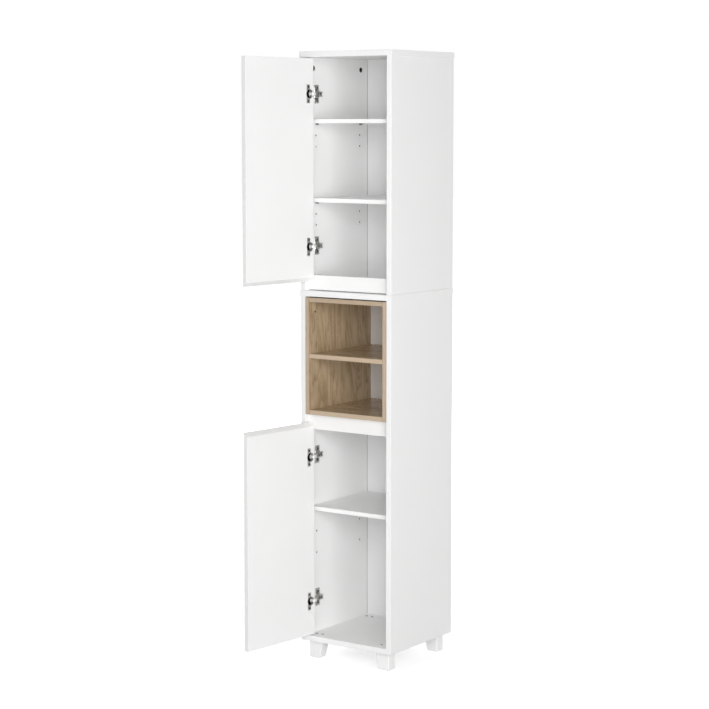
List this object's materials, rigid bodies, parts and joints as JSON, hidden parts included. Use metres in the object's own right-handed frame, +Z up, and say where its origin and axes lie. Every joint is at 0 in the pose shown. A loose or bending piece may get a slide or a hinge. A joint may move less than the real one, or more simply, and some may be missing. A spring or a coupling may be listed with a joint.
{
  "type": "tall bathroom cabinet",
  "caption": "Tall narrow white bathroom cabinet on short tapered feet, with a handle-less hinged door above and below an open oak-look niche, and loose shelves.",
  "frame": {"origin": "on the floor, under the middle of the carcass sides (the doors stand out in front of it)", "axes": "+Z up; +Y towards the wall, so the doors and the niche face -Y; +X to the right as seen from the front"},
  "size_m": [0.324, 0.5776, 1.75],
  "materials": {
    "white_board": "smooth white melamine with a soft sheen",
    "white_back": "thin white-faced hardboard",
    "white_foot": "smooth matt white",
    "oak_board": "light oak foil with fine straight grain",
    "hinge_steel": "nickel-plated pressed steel",
    "pin_steel": "bright steel",
    "cam_zinc": "die-cast zinc",
    "screw_steel": "zinc-plated steel",
    "dowel_wood": "plain beech"
  },
  "bodies": {
    "cabinet": {"back_panel_nails": "screw_steel", "cam_bolts": "cam_zinc", "cam_locks": "cam_zinc", "divider_panel": "white_board", "dowels": "dowel_wood", "foot_front_left": "white_foot", "foot_front_right": "white_foot", "foot_rear_left": "white_foot", "foot_rear_right": "white_foot", "foot_screws": "screw_steel", "insert_bottom": "oak_board", "insert_left_side": "oak_board", "insert_right_side": "oak_board", "insert_screws": "screw_steel", "insert_shelf": "oak_board", "insert_top": "oak_board", "joining_screws": "screw_steel", "lower_arm_screws": "screw_steel", "lower_back_panel": "white_back", "lower_bottom_panel": "white_board", "lower_hinge_high_arm": "hinge_steel", "lower_hinge_high_plate": "hinge_steel", "lower_hinge_low_arm": "hinge_steel", "lower_hinge_low_plate": "hinge_steel", "lower_plate_screws": "screw_steel", "lower_rail": "white_board", "lower_shelf": "white_board", "lower_shelf_pins": "pin_steel", "lower_side_left": "white_board", "lower_side_right": "white_board", "lower_top_panel": "white_board", "upper_arm_screws": "screw_steel", "upper_back_panel": "white_back", "upper_bottom_panel": "white_board", "upper_high_shelf_pins": "pin_steel", "upper_hinge_high_arm": "hinge_steel", "upper_hinge_high_plate": "hinge_steel", "upper_hinge_low_arm": "hinge_steel", "upper_hinge_low_plate": "hinge_steel", "upper_low_shelf_pins": "pin_steel", "upper_plate_screws": "screw_steel", "upper_rail": "white_board", "upper_shelf_high": "white_board", "upper_shelf_low": "white_board", "upper_side_left": "white_board", "upper_side_right": "white_board", "upper_top_panel": "white_board"},
    "upper_door": {"upper_cup_screws": "screw_steel", "upper_door": "white_board", "upper_hinge_high_cup": "hinge_steel", "upper_hinge_high_pin": "pin_steel", "upper_hinge_low_cup": "hinge_steel", "upper_hinge_low_pin": "pin_steel"},
    "lower_door": {"lower_cup_screws": "screw_steel", "lower_door": "white_board", "lower_hinge_high_cup": "hinge_steel", "lower_hinge_high_pin": "pin_steel", "lower_hinge_low_cup": "hinge_steel", "lower_hinge_low_pin": "pin_steel"}
  },
  "joints": [
    {"name": "upper_door_hinge", "type": "hinge", "parent": "cabinet", "child": "upper_door", "pos_m": [-0.1285, -0.1525, 1.415], "axis": [0, 0, 1], "range_deg": [-8.5, 96.5]},
    {"name": "lower_door_hinge", "type": "hinge", "parent": "cabinet", "child": "lower_door", "pos_m": [-0.1285, -0.1525, 0.382], "axis": [0, 0, 1], "range_deg": [-8.5, 96.5]}
  ]
}
